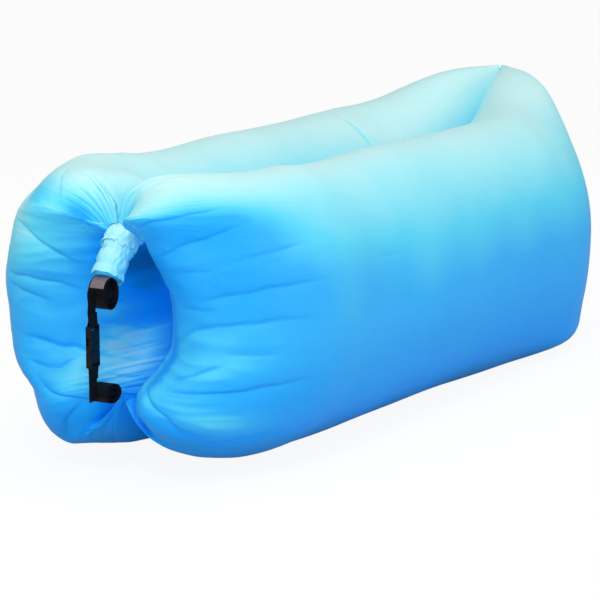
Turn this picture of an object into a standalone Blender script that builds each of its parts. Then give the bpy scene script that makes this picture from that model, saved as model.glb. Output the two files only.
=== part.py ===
"""Inflatable air lounger: two long air-filled side tubes, a rolled mouth and the strap that holds it shut."""

from math import cos, hypot, pi, radians, sin

import bpy
from mathutils import Matrix, Vector

# Driving sizes, in metres. X runs along the lounger from the mouth to the head, Y across it, Z up.
body_length = 1.458
tube_width = 0.3305
ridge_height = 0.551
fit_gap = 0.0003
seat_gap = 0.0015

# Cloth and film
cover_wall = 0.0012
liner_wall = 0.0004
liner_gap = 0.0012
seam_tape_height = 0.032
binding_width = 0.032
binding_depth = 0.006
head_edge_width = 0.014

# Tube sections. A table holds (share of the body length, share of the size that it follows).
width_shares = ((0.0, 0.953), (0.15, 0.96), (0.4, 1.0), (0.75, 1.018), (1.0, 1.018))
ridge_shares = ((0.0, 1.038), (0.12, 1.0), (0.35, 1.0), (0.6, 0.991), (0.8, 1.018), (0.92, 1.105), (1.0, 1.113))
girth_share = 0.47
rounding_start_share = 0.767
head_lift_start_share = 0.86
mouth_lift_end_share = 0.22
lean_start_share = 0.7085
lean_share = 0.067
head_lean_share = -0.75
head_lift = 0.15
mouth_lift = 0.03
ground_sink = 0.009
upper_roundness = (2.18, 2.01)
lower_roundness = (2.09, 2.29)

# The mouth: from its last full ring each tube narrows to a flat slit, an upright curve in the middle plane.
mouth_start_share = 0.06
mouth_reach = 0.2
mouth_height = 0.2975
slit_depth = 0.253
slit_half_height = 0.1855
slit_width = 0.0197
slit_squareness = 0.65
gather_reach = 0.022
gather_sharpness = 60
side_bulge = 0.458
ridge_bulge = 0.267
base_bulge = 0.1436
side_return = 0.3494
ridge_return = 0.0175
base_return = 0.0143
side_spread = 0.0025
ridge_spread = 0.0206
base_spread = 0.05
ridge_fall = 0.1393
base_climb = 0.1066
upper_corner_return = 0.2149
lower_corner_return = 0.2891
upper_corner_pinch = 0.0325
lower_corner_pinch = 0.0558
lower_corner_rise = 0.1

# The rolled mouth cloth and the flat strip that it is rolled round
roll_radius = 0.021
roll_core_radius = 0.0115
roll_room = 0.0019
roll_end_gap = 0.0006
roll_cloth = 0.003
roll_turns = 2
upper_roll_radius = 0.031
lower_roll_radius = 0.0125
strip_width = 0.0206
strip_thickness = 0.0012
strip_inset = 0.004

# Webbing: the folds, the straps and the buckle all keep their places beside the mouth's middle height.
webbing_width = 0.025
webbing_thickness = 0.0016
strap_reach = 0.309
fold_width = 0.036
fold_thickness = 0.002
upper_fold_half_width = 0.024
upper_fold_half_height = 0.029
upper_fold_rise = 0.0665
lower_fold_half_width = 0.026
lower_fold_half_height = 0.018
lower_fold_drop = 0.1175
strap_top_rise = 0.0785
strap_bottom_drop = 0.1255
strap_return = 0.024

# Side-release buckle
buckle_width = 0.032
buckle_thickness = 0.01
buckle_edge = 0.0012
socket_length = 0.046
socket_drop = 0.0315
socket_wall = 0.0016
socket_mouth_depth = 0.03
plug_length = 0.03
slot_height = 0.0048
rail_height = 0.003
rail_thickness = 0.0034
slot_side_room = 0.0004
tongue_width = 0.006
tongue_thickness = 0.004
tongue_length = 0.021
prong_length = 0.022
prong_arm_width = 0.0028
prong_thickness = 0.005
barb_width = 0.0052
barb_length = 0.009
barb_nose = 0.003
window_length = 0.013
prong_clearance = 0.0006
cut_overrun = 0.004

# Counts
around = 24
body_steps = 16
mouth_steps = 10
roll_steps_per_turn = 10
fold_steps_per_turn = 14
fold_turns = 2
liner_mouth_rings_short = 5
liner_head_rings_short = 1

overall_middle = (body_length + binding_depth - strap_reach - buckle_width / 2) / 2

for old in list(bpy.data.objects):
    bpy.data.objects.remove(old, do_unlink=True)

lounger = bpy.data.collections.new("air_lounger")
cutters = bpy.data.collections.new("cutters")
bpy.context.scene.collection.children.link(lounger)
bpy.context.scene.collection.children.link(cutters)

frame = bpy.data.objects.new("lounger_frame", None)
frame.location = (-overall_middle, 0, 0)
lounger.objects.link(frame)
bpy.context.view_layer.update()


def finish(name, colour, roughness):
    """A plain material of its own for one piece."""
    material = bpy.data.materials.new(name)
    material.use_nodes = True
    shader = material.node_tree.nodes["Principled BSDF"]
    shader.inputs["Base Color"].default_value = (*colour, 1)
    shader.inputs["Roughness"].default_value = roughness
    shader.inputs["Metallic"].default_value = 0
    return material


azure = (0.10, 0.48, 0.90)
pale_azure = (0.32, 0.78, 0.90)
black = (0.012, 0.012, 0.014)
film = (0.80, 0.84, 0.86)
white_strip = (0.70, 0.70, 0.68)


def place(item, colour, roughness):
    """Put a piece in the lounger's collection and under its frame."""
    item.data.materials.append(finish(item.name, colour, roughness))
    item.parent = frame
    lounger.objects.link(item)
    return item


def loft(name, rings, start_faces, end_faces, flip=False):
    """A mesh skinned over rings of equal count; start_faces and end_faces list the end caps' corners."""
    mesh = bpy.data.meshes.new(name)
    count = len(rings[0])
    corners = [point for ring in rings for point in ring]
    faces = []
    for row in range(len(rings) - 1):
        for column in range(count):
            following = (column + 1) % count
            low = row * count
            high = low + count
            faces.append((low + column, low + following, high + following))
            faces.append((low + column, high + following, high + column))
    last = (len(rings) - 1) * count
    faces += [tuple(reversed(face)) for face in start_faces]
    faces += [tuple(last + corner for corner in face) for face in end_faces]
    if flip:
        faces = [tuple(reversed(face)) for face in faces]
    mesh.from_pydata(corners, [], faces)
    mesh.update()
    mesh.shade_smooth()
    return bpy.data.objects.new(name, mesh)


def between(table, share):
    """Smooth reading of a table of (share, value) pairs."""
    spans = len(table) - 1
    slopes = [(table[i + 1][1] - table[i][1]) / (table[i + 1][0] - table[i][0]) for i in range(spans)]
    at_points = [slopes[0]] + [(slopes[i] + slopes[i + 1]) / 2 for i in range(spans - 1)] + [slopes[-1]]
    index = 0
    while index < spans - 1 and share > table[index + 1][0]:
        index += 1
    start, value = table[index]
    width = table[index + 1][0] - start
    t = (share - start) / width
    ends = (2 * t**3 - 3 * t**2 + 1) * value + (3 * t**2 - 2 * t**3) * table[index + 1][1]
    bends = (t**3 - 2 * t**2 + t) * at_points[index] + (t**3 - t**2) * at_points[index + 1]
    return ends + bends * width


def signed_power(value, power):
    return abs(value) ** power * (1 if value >= 0 else -1)


def blend(pair, share):
    return pair[0] + (pair[1] - pair[0]) * share


def rise(share, start):
    return max(share - start, 0) / (1 - start)


def ridge_at(share):
    return ridge_height * between(ridge_shares, share)


def base_at(share):
    """Height of a section's lowest point; below zero where the tube rests on the ground."""
    at_mouth = (mouth_lift + ground_sink) * max(1 - share / mouth_lift_end_share, 0) ** 2
    at_head = (head_lift + ground_sink) * rise(share, head_lift_start_share) ** 2
    return at_mouth + at_head - ground_sink


def girth_at(share):
    """Height of a section's widest point, where the two tubes touch."""
    return base_at(share) + girth_share * (ridge_at(share) - base_at(share))


def section(share):
    """One tube section, from its lowest point round the outer side; Y counts away from the middle plane."""
    closing = (1 - min(rise(share, rounding_start_share), 1) ** 2) ** 0.5
    outer = tube_width * between(width_shares, share) * closing + head_edge_width
    half_width = (outer - seat_gap) / 2
    middle = (outer + seat_gap) / 2
    widest = girth_at(share)
    above = ridge_at(share) - widest
    below = widest - base_at(share)
    lean = (lean_share + head_lean_share * rise(share, lean_start_share)) * half_width
    ring = []
    for step in range(around):
        angle = 2 * pi * step / around - pi / 2
        upper = sin(angle) > 0
        power = 2 / blend(upper_roundness if upper else lower_roundness, share)
        across = middle + half_width * signed_power(cos(angle), power)
        height = (above if upper else below) * signed_power(sin(angle), power)
        across += lean * max(height / above, 0) ** 2
        ring.append(Vector((share * body_length, max(across, seat_gap), max(widest + height, 0))))
    return ring


def mouth_section(first, share):
    """A section between the first full ring (share 0) and the flat slit of the mouth (share 1)."""
    ring = []
    for step, start in enumerate(first):
        angle = 2 * pi * step / around - pi / 2
        out = max(cos(angle), 0)
        upper = max(sin(angle), 0) ** 2
        lower = max(-sin(angle), 0) ** 2
        side = out**2
        upper_corner = 4 * side * upper
        lower_corner = 4 * side * lower
        layer = seat_gap + slit_width * (0.5 + 0.5 * signed_power(cos(angle), 0.25))
        deep = slit_depth * abs(cos(angle)) ** slit_squareness
        high = slit_half_height * signed_power(sin(angle), slit_squareness)
        forward = mouth_reach + gather_reach * max(sin(angle), 0) ** gather_sharpness
        end = Vector((deep - forward, layer, mouth_height + high))
        first_pull = start - Vector((side_bulge * out + ridge_bulge * upper + base_bulge * lower, 0, 0))
        back = side_return * side + ridge_return * upper + base_return * lower
        back += upper_corner_return * upper_corner + lower_corner_return * lower_corner
        spread = side_spread * out + ridge_spread * upper + base_spread * lower
        spread -= upper_corner_pinch * upper_corner + lower_corner_pinch * lower_corner
        climb = ridge_fall * upper - base_climb * lower + lower_corner_rise * lower_corner
        last_pull = end + Vector((-back, spread, climb))
        rest = 1 - share
        point = rest**3 * start + 3 * share * rest**2 * first_pull + 3 * share**2 * rest * last_pull + share**3 * end
        ring.append(Vector((point.x, max(point.y, seat_gap), max(point.z, 0))))
    return ring


def tube_rings():
    """Every ring of a tube's outer surface, from the mouth's slit to its closed end near the head."""
    first = section(mouth_start_share)
    rings = [mouth_section(first, 1 - step / mouth_steps) for step in range(mouth_steps)]
    for step in range(body_steps + 1):
        share = blend((mouth_start_share, 1), step / body_steps)
        if share > rounding_start_share:
            share = blend((rounding_start_share, 1), sin(rise(share, rounding_start_share) * pi / 2))
        rings.append(section(share))
    return rings


def tube(name, side, depth, wall, colour, roughness):
    """One tube's skin, open at the mouth: side is 1 for left and -1 for right, depth is how far inside it lies."""
    rings = [[Vector((p.x, p.y * side, p.z)) for p in ring] for ring in tube_rings()]
    half = around // 2
    cap = [(0, 1, around - 1)]
    cap += [(step, step + 1, around - step - 1, around - step) for step in range(1, half - 1)]
    cap += [(half - 1, half, half + 1)]
    skin = loft(name, rings, [], cap, flip=side < 0)
    if depth:
        inner = [vertex.co - vertex.normal * depth for vertex in skin.data.vertices]
        bpy.data.objects.remove(skin)
        rings = [inner[start:start + around] for start in range(0, len(inner), around)]
        rings = rings[liner_mouth_rings_short:len(rings) - liner_head_rings_short]
        skin = loft(name, rings, [], cap, flip=side < 0)
    shell = skin.modifiers.new("wall", "SOLIDIFY")
    shell.thickness = wall
    shell.offset = -1
    shell.use_quality_normals = True
    return place(skin, colour, roughness)


liner_depth = cover_wall + liner_gap
tube("right_side_tube", -1, 0, cover_wall, azure, 0.55)
tube("left_side_tube", 1, 0, cover_wall, azure, 0.55)
tube("right_air_liner", -1, liner_depth, liner_wall, film, 0.3)
tube("left_air_liner", 1, liner_depth, liner_wall, film, 0.3)


def flat_cap(count):
    return [tuple(range(count))]


# The tape of the seam that joins the two tubes all along the seat valley
tape_half = seat_gap - fit_gap
tape_rings = []
for step in range(body_steps + 1):
    share = blend((mouth_start_share, rounding_start_share), step / body_steps)
    low = girth_at(share) - seam_tape_height / 2
    high = low + seam_tape_height
    x = share * body_length
    corners = ((tape_half, low), (-tape_half, low), (-tape_half, high), (tape_half, high))
    tape_rings.append([Vector((x, y, z)) for y, z in corners])
place(loft("seat_seam_tape", tape_rings, flat_cap(4), flat_cap(4), flip=True), azure, 0.6)


def block(name, centre, size):
    """A cube primitive brought to its size and place."""
    bpy.ops.mesh.primitive_cube_add(size=1)
    item = bpy.context.object
    item.name = name
    item.data.name = name
    item.data.transform(Matrix.Translation(centre) @ Matrix.Diagonal((*size, 1)))
    for collection in list(item.users_collection):
        collection.objects.unlink(item)
    return item


def round_edges(item, width, segments):
    bevel = item.modifiers.new("rounded edges", "BEVEL")
    bevel.width = width
    bevel.segments = segments
    bevel.limit_method = "ANGLE"


def combine(item, other, operation):
    """Cut another shape out of a piece, or join it on; the shape itself stays out of the lounger."""
    other.parent = frame
    other.hide_render = True
    other.display_type = "WIRE"
    cutters.objects.link(other)
    boolean = item.modifiers.new(other.name, "BOOLEAN")
    boolean.operation = operation
    boolean.object = other
    boolean.solver = "EXACT"


# The binding over the upright seam that closes both tubes at the head
binding_low = base_at(1) + binding_depth
binding_high = ridge_at(1) - binding_depth
binding_thickness = binding_depth - fit_gap
binding = block(
    "head_seam_binding",
    (body_length + fit_gap + binding_thickness / 2, 0, (binding_low + binding_high) / 2),
    (binding_thickness, binding_width, binding_high - binding_low),
)
round_edges(binding, binding_thickness / 3, 2)
place(binding, azure, 0.6)

# Where the roll's two ends meet the folded webbing
fold_face = webbing_width / 2 + fit_gap - strap_reach
upper_fold = Vector((fold_face + upper_fold_half_width, 0, mouth_height + upper_fold_rise))
lower_fold = Vector((fold_face + lower_fold_half_width, 0, mouth_height - lower_fold_drop))
upper_entry = radians(63)
lower_entry = radians(-30)


def roll_end(centre, half_width, half_height, entry):
    """The point beside a fold where the roll's flat end meets it, and the direction that the roll leaves in."""
    heading = Vector((cos(entry), 0, sin(entry)))
    reach = hypot(half_width * heading.x, half_height * heading.z) + roll_end_gap
    return centre + heading * reach, heading


def crossing(start, heading, other, other_heading):
    """Where two lines in the middle plane cross."""
    span = other - start
    turn = heading.x * other_heading.z - heading.z * other_heading.x
    return start + heading * ((span.x * other_heading.z - span.z * other_heading.x) / turn)


roll_depth = slit_depth - roll_radius - roll_room
roll_half_height = slit_half_height - roll_radius - roll_room
roll_arc = radians(75)
roll_arc_steps = 10


def on_arc(angle):
    """A point of the roll's arc inside the mouth's crevice."""
    deep = roll_depth * cos(angle) ** slit_squareness
    return Vector((deep - mouth_reach, 0, mouth_height + roll_half_height * signed_power(sin(angle), slit_squareness)))


def arc_heading(angle):
    """The arc's direction of rising angle, anywhere but at its middle."""
    deeper = roll_depth * cos(angle) ** (slit_squareness - 1) * sin(angle)
    higher = roll_half_height * abs(sin(angle)) ** (slit_squareness - 1) * cos(angle)
    return Vector((-deeper, 0, higher)).normalized()


def bend(start, corner, end, share):
    return start * (1 - share) ** 2 + corner * 2 * share * (1 - share) + end * share**2


def roll_stations():
    """The roll's centre line from its upper end to its lower end, each point with the roll's radius there."""
    stations = []
    end, heading = roll_end(upper_fold, upper_fold_half_width, upper_fold_half_height, upper_entry)
    arc_start = on_arc(roll_arc)
    corner = crossing(end, heading, arc_start, arc_heading(roll_arc))
    neck_steps = 5
    for step in range(neck_steps):
        share = step / neck_steps
        stations.append((bend(end, corner, arc_start, share), blend((upper_roll_radius, roll_radius), share)))
    for step in range(roll_arc_steps + 1):
        stations.append((on_arc(roll_arc * (1 - 2 * step / roll_arc_steps)), roll_radius))
    end, heading = roll_end(lower_fold, lower_fold_half_width, lower_fold_half_height, lower_entry)
    arc_end = on_arc(-roll_arc)
    corner = crossing(end, heading, arc_end, arc_heading(-roll_arc))
    tail_steps = 6
    for step in range(1, tail_steps + 1):
        share = step / tail_steps
        stations.append((bend(arc_end, corner, end, share), blend((roll_radius, lower_roll_radius), share)))
    return stations


def cross_frames(points):
    """For each point of a path in the middle plane: the point and the in-plane direction away from its bend."""
    frames = []
    for index, point in enumerate(points):
        before = points[max(index - 1, 0)]
        after = points[min(index + 1, len(points) - 1)]
        along = (after - before).normalized()
        frames.append((point, Vector((-along.z, 0, along.x)), along))
    return frames


stations = roll_stations()
roll_points = [point for point, radius in stations]
spiral_steps = roll_turns * roll_steps_per_turn
roll_rings = []
for (point, outward, along), (_, radius) in zip(cross_frames(roll_points), stations):
    swell = radius / roll_radius
    outer_side = []
    inner_side = []
    for step in range(spiral_steps + 1):
        angle = 2 * pi * (step - spiral_steps) / roll_steps_per_turn
        middle = blend((roll_core_radius, roll_radius - roll_cloth / 2), step / spiral_steps)
        for side, offset in ((outer_side, roll_cloth / 2), (inner_side, -roll_cloth / 2)):
            reach = (middle + offset) * swell
            side.append(point + outward * (reach * cos(angle)) + Vector((0, reach * sin(angle), 0)))
    roll_rings.append(outer_side + list(reversed(inner_side)))
ring_count = 2 * (spiral_steps + 1)
roll_cap = [(step, step + 1, ring_count - 2 - step, ring_count - 1 - step) for step in range(spiral_steps)]
place(loft("mouth_roll", roll_rings, roll_cap, roll_cap, flip=True), pale_azure, 0.55)

# The strip ends where the roll narrows towards its lower end.
strip_rings = []
full_stations = [point for point, radius in stations if radius >= roll_radius]
strip_frames = cross_frames(full_stations)
for index, (point, outward, along) in enumerate(strip_frames):
    if index == 0:
        point = point + along * strip_inset
    if index == len(strip_frames) - 1:
        point = point - along * strip_inset
    deep = outward * (strip_thickness / 2)
    wide = Vector((0, strip_width / 2, 0))
    strip_rings.append([point - deep - wide, point + deep - wide, point + deep + wide, point - deep + wide])
place(loft("mouth_stiffener", strip_rings, flat_cap(4), flat_cap(4), flip=True), white_strip, 0.45)


def webbing_fold(name, centre, half_width, half_height):
    """Webbing wound flat on itself at an end of the roll, its last turn ending beside the strap."""
    core_share = 0.35
    last_turn_share = 0.7
    steps = fold_turns * fold_steps_per_turn
    rings = []
    for step in range(steps + 1):
        turns_left = (steps - step) / fold_steps_per_turn
        angle = pi - 2 * pi * turns_left
        inward = max(turns_left - last_turn_share, 0) / (fold_turns - last_turn_share)
        share = blend((1, core_share), inward)
        middle_width = (half_width - fold_thickness / 2) * share
        middle_height = (half_height - fold_thickness / 2) * share
        middle = centre + Vector((middle_width * cos(angle), 0, middle_height * sin(angle)))
        outward = Vector((cos(angle) / middle_width, 0, sin(angle) / middle_height)).normalized()
        deep = outward * (fold_thickness / 2)
        wide = Vector((0, fold_width / 2, 0))
        rings.append([middle - deep - wide, middle + deep - wide, middle + deep + wide, middle - deep + wide])
    return place(loft(name, rings, flat_cap(4), flat_cap(4)), black, 0.75)


webbing_fold("upper_end_webbing", upper_fold, upper_fold_half_width, upper_fold_half_height)
webbing_fold("lower_end_webbing", lower_fold, lower_fold_half_width, lower_fold_half_height)

socket_bottom_height = mouth_height - socket_drop
socket_top_height = socket_bottom_height + socket_length
plug_top_height = socket_bottom_height - fit_gap
plug_bottom_height = plug_top_height - plug_length
slot_width = webbing_width + 2 * slot_side_room
cavity_width = buckle_width - 2 * socket_wall
cavity_thickness = buckle_thickness - 2 * socket_wall


def strap(name, far_height, rail_height_above, upward):
    """A strap that runs to a buckle's rail, passes round it and lies back on itself; upward is 1 or -1."""
    leg = webbing_thickness / 2 + fit_gap / 2
    room = webbing_thickness / 2 + 3 * fit_gap
    wrap_across = rail_thickness / 2 + room
    wrap_along = rail_height / 2 + room
    path = [(leg, far_height), (leg, rail_height_above + upward * strap_return / 2)]
    wrap_steps = 8
    for step in range(wrap_steps + 1):
        angle = pi * step / wrap_steps
        path.append((wrap_across * cos(angle), rail_height_above - upward * wrap_along * sin(angle)))
    path += [(-leg, rail_height_above + upward * strap_return / 2), (-leg, rail_height_above + upward * strap_return)]
    rings = []
    for index, (y, z) in enumerate(path):
        before = Vector(path[max(index - 1, 0)])
        after = Vector(path[min(index + 1, len(path) - 1)])
        along = (after - before).normalized()
        across = Vector((0, -along.y, along.x)) * (webbing_thickness / 2)
        wide = Vector((webbing_width / 2, 0, 0))
        middle = Vector((-strap_reach, y, z))
        rings.append([middle - across - wide, middle + across - wide, middle + across + wide, middle - across + wide])
    return place(loft(name, rings, flat_cap(4), flat_cap(4)), black, 0.75)


strap("upper_strap", mouth_height + strap_top_rise, socket_top_height - rail_height / 2, 1)
strap("lower_strap", mouth_height - strap_bottom_drop, plug_bottom_height + rail_height / 2, -1)


def cut_rail(item, prefix, edge_height, inward):
    """The webbing slot and the thin rail beside it; inward is the direction from the piece's edge to its middle."""
    rail_inner = edge_height + inward * rail_height
    slot_middle = rail_inner + inward * slot_height / 2
    slot = block(prefix + "_slot", (-strap_reach, 0, slot_middle),
                 (slot_width, buckle_thickness + 2 * cut_overrun, slot_height))
    combine(item, slot, "DIFFERENCE")
    relief_depth = buckle_thickness / 2 - rail_thickness / 2 + cut_overrun
    relief_length = rail_height + slot_height / 2 + cut_overrun
    relief_middle = edge_height + inward * (relief_length / 2 - cut_overrun)
    for side, word in ((-1, "_near_relief"), (1, "_far_relief")):
        relief = block(prefix + word, (-strap_reach, side * (rail_thickness + relief_depth) / 2, relief_middle),
                       (slot_width, relief_depth, relief_length))
        combine(item, relief, "DIFFERENCE")


socket = block("buckle_socket", (-strap_reach, 0, socket_bottom_height + socket_length / 2),
               (buckle_width, buckle_thickness, socket_length))
round_edges(socket, buckle_edge, 2)
cavity_length = socket_mouth_depth + cut_overrun
combine(socket, block("socket_cavity", (-strap_reach, 0, socket_bottom_height - cut_overrun + cavity_length / 2),
                      (cavity_width, cavity_thickness, cavity_length)), "DIFFERENCE")
barb_start_height = plug_top_height + fit_gap + prong_length - barb_length
combine(socket, block("socket_windows", (-strap_reach, 0, barb_start_height + barb_length / 2),
                      (buckle_width + 2 * cut_overrun, prong_thickness + 2 * prong_clearance, window_length)),
        "DIFFERENCE")
cut_rail(socket, "socket", socket_top_height, -1)
place(socket, black, 0.35)

plug = block("buckle_plug", (-strap_reach, 0, plug_top_height - plug_length / 2),
             (buckle_width, buckle_thickness, plug_length))
round_edges(plug, buckle_edge, 2)
tongue_root = cut_overrun
combine(plug, block("plug_tongue", (-strap_reach, 0, plug_top_height + (tongue_length - tongue_root) / 2),
                    (tongue_width, tongue_thickness, tongue_length + tongue_root)), "UNION")
cut_rail(plug, "plug", plug_bottom_height, 1)
place(plug, black, 0.35)


def prong(name, side):
    """One squeeze prong, pivoting at its root; side is -1 at the front and 1 at the rear."""
    barb_reach = cavity_width / 2 - prong_clearance
    arm_outer = barb_reach - (barb_width - prong_arm_width)
    arm_middle = arm_outer - prong_arm_width / 2
    half = prong_arm_width / 2
    barb = half + barb_width - prong_arm_width
    outline = (
        (-half, 0), (half, 0), (half, prong_length - barb_length), (barb, prong_length - barb_length),
        (barb, prong_length - barb_nose), (half, prong_length), (-half, prong_length),
    )
    curve = bpy.data.curves.new(name, "CURVE")
    curve.dimensions = "2D"
    curve.fill_mode = "BOTH"
    curve.extrude = prong_thickness / 2
    spline = curve.splines.new("POLY")
    spline.points.add(len(outline) - 1)
    for point, (x, z) in zip(spline.points, outline):
        point.co = (side * x, z, 0, 1)
    spline.use_cyclic_u = True
    item = bpy.data.objects.new(name, curve)
    item.location = (side * arm_middle - strap_reach, 0, plug_top_height + fit_gap)
    item.rotation_euler = (pi / 2, 0, 0)
    return place(item, black, 0.35)


prong("buckle_front_prong", -1)
prong("buckle_rear_prong", 1)
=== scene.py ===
from math import cos, pi, radians, sin

import bpy
import numpy as np
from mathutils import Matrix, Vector, noise


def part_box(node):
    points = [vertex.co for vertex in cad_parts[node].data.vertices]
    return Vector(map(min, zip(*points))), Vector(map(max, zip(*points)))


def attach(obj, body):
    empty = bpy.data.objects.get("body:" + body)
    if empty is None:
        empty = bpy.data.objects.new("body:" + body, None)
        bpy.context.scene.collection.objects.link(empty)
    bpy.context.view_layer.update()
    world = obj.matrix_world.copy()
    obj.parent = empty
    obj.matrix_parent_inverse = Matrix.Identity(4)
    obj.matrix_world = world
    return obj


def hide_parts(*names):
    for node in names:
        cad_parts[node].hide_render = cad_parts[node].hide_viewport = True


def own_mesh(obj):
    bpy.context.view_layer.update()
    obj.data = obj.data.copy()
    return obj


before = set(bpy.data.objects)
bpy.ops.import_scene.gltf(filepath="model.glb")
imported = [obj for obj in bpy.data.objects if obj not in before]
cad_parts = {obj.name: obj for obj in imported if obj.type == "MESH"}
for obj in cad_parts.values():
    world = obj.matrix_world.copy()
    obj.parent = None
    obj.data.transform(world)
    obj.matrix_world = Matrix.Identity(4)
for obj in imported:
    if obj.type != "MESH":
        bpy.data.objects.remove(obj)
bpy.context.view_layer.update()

# The two side tubes are sewn of thin azure polyester and filled with air. They touch along the middle and lie
# flat on the ground. At the mouth each one narrows to an upright slit that is rolled up, and creases run out
# from there. X counts from where the mouth begins: the lounger's middle is mouth_to_middle further on.
mouth_to_middle = 0.5695
body_length = 1.458
tube_width = 0.3305
ridge_height = 0.551
seat_gap = 0.0015
head_edge_width = 0.014
# Along the body, as (share of its length, value): the width, the ridge's height and the tuck under the belly.
width_shares = ((0.0, 0.953), (0.15, 0.96), (0.4, 1.0), (0.75, 1.018), (1.0, 1.018))
ridge_shares = ((0.0, 1.038), (0.12, 1.0), (0.35, 1.0), (0.6, 0.991), (0.8, 1.018), (0.92, 1.105),
                (1.0, 1.113))
belly_tucks = ((0.0, 0.01), (0.06, 0.045), (0.15, 0.072), (0.3, 0.068), (0.45, 0.055), (0.57, 0.036),
               (0.66, 0.012), (0.8, -0.02), (1.0, -0.03))
girth_share = 0.47
ground_press = 0.009
mouth_lift = 0.039
mouth_lift_reach = 0.22
head_lift = 0.159
head_lift_start = 0.86
ridge_lean = 0.067
head_lean = 0.75
head_lean_start = 0.7085
top_squareness = 2.18
top_squareness_fall = 0.17
under_squareness = 2.09
under_squareness_rise = 0.2
mouth_start = 0.06
rounding_start = 0.767
outer_columns = 420
inner_columns = 76
mouth_rows = 120
body_rows = 80
seat_crease_row = 0.61
seat_crease_row_step = 0.0016

# Round a ring, -90 degrees is its lowest point, 0 its outer side and 90 its top.
# The columns lie closer together where the cloth is gathered, at the top and the bottom of the mouth.
top_gather = 2.4
top_gather_degrees = 26
bottom_gather = 1.6
bottom_gather_degrees = 16
ladder = np.linspace(-90, 90, 721)
closeness = 1 + top_gather * np.exp(-(((ladder - 90) / top_gather_degrees) ** 2))
closeness += bottom_gather * np.exp(-(((ladder + 90) / bottom_gather_degrees) ** 2))
run_up = np.concatenate([[0], np.cumsum((closeness[1:] + closeness[:-1]) / 2)])
outer_half = np.interp(np.linspace(0, run_up[-1], outer_columns + 1), run_up, ladder)
inner_half = 180 - np.interp(np.linspace(run_up[-1], 0, inner_columns + 1), run_up, ladder)
column_degrees = np.concatenate([outer_half, inner_half[1:-1]])
columns = len(column_degrees)
angles = np.radians(column_degrees)
outward = np.cos(angles)
upward = np.sin(angles)


def between(table, share):
    """The value at one share of a smooth curve through the table's (share, value) points."""
    spans = len(table) - 1
    slopes = [(table[i + 1][1] - table[i][1]) / (table[i + 1][0] - table[i][0]) for i in range(spans)]
    at_points = [slopes[0]] + [(slopes[i] + slopes[i + 1]) / 2 for i in range(spans - 1)] + [slopes[-1]]
    index = 0
    while index < spans - 1 and share > table[index + 1][0]:
        index += 1
    start, value = table[index]
    width = table[index + 1][0] - start
    t = (share - start) / width
    ends = (2 * t**3 - 3 * t**2 + 1) * value + (3 * t**2 - 2 * t**3) * table[index + 1][1]
    return ends + ((t**3 - 2 * t**2 + t) * at_points[index] + (t**3 - t**2) * at_points[index + 1]) * width


def signed_power(value, power):
    return np.sign(value) * np.abs(value) ** power


def rise(share, start):
    """0 up to the start, and from there evenly to 1 at the head."""
    return max(share - start, 0) / (1 - start)


def tube_section(share):
    """One full ring of the tube, from its lowest point round the outer side."""
    closing = (1 - min(rise(share, rounding_start), 1) ** 2) ** 0.5
    outer = tube_width * between(width_shares, share) * closing + head_edge_width
    half_width = (outer - seat_gap) / 2
    ridge = ridge_height * between(ridge_shares, share)
    base = mouth_lift * max(1 - share / mouth_lift_reach, 0) ** 2
    base = base + head_lift * rise(share, head_lift_start) ** 2 - ground_press
    widest = base + girth_share * (ridge - base)
    above = ridge - widest
    lean = (ridge_lean - head_lean * rise(share, head_lean_start)) * half_width
    top_power = top_squareness - top_squareness_fall * share
    under_power = under_squareness + under_squareness_rise * share
    roundness = np.where(upward > 0, top_power, under_power)
    height = np.where(upward > 0, above, widest - base) * signed_power(upward, 2 / roundness)
    across = (outer + seat_gap) / 2 + half_width * signed_power(outward, 2 / roundness)
    across = across + lean * np.maximum(height / above, 0) ** 2
    across = across - between(belly_tucks, share) * np.maximum(-height / (widest - base), 0) ** 2
    across = np.maximum(across, seat_gap)
    return np.stack([np.full(columns, share * body_length), across, widest + height], 1)


def soft_step(value):
    """An S-shaped step from 0 to 1."""
    value = np.clip(value, 0, 1)
    return value * value * (3 - 2 * value)


# The mouth's edge runs along the rolled cloth: an upright curve in the middle plane, deepest half way up.
# At its top and its bottom the cloth is drawn in round the roll, which comes out there.
slit_middle = 0.2975
slit_half_height = 0.1855
slit_depth = 0.253
slit_ends = -0.2
slit_squareness = 0.65
slit_spread = 0.0197
neck_wrap_degrees = 118
tail_wrap_degrees = 110
neck_top = np.array((-0.2, 0, 0.459))
neck_radius = 0.0335
tail_top = np.array((-0.207, 0, 0.1655))
tail_radius = 0.0125


def drawn_round(centre, radius, away, turns):
    """Points on the near half of a ring round the roll: turn 0 is the side that faces away."""
    return centre + radius * (np.cos(turns)[:, None] * away + np.sin(turns)[:, None] * np.array((0, 1, 0)))


steep = np.where(column_degrees > 90, 180 - column_degrees, column_degrees)
is_outer = column_degrees <= 90
slit_layer = seat_gap + slit_spread * (0.5 + 0.5 * signed_power(outward, 0.25))
slit_line = np.stack([slit_depth * np.abs(outward) ** slit_squareness + slit_ends, slit_layer,
                      slit_middle + slit_half_height * signed_power(upward, slit_squareness)], 1)
top_turn = np.where(is_outer, np.radians(neck_wrap_degrees) * np.clip((91 - column_degrees) / 28, 0, 1), 0)
top_ring = drawn_round(neck_top, neck_radius, np.array((-0.64, 0, 0.77)), top_turn)
top_share = np.where(is_outer, soft_step((steep - 36) / 32), soft_step((steep - 66) / 20))[:, None]
low_turn = np.where(is_outer, np.radians(tail_wrap_degrees) * np.clip((91 + column_degrees) / 22, 0, 1), 0)
low_ring = drawn_round(tail_top, tail_radius, np.array((-0.3, 0, -0.95)), low_turn)
low_share = soft_step((-steep - 58) / 24)[:, None]
slit_line = slit_line + (top_ring - slit_line) * top_share + (low_ring - slit_line) * low_share


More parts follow.
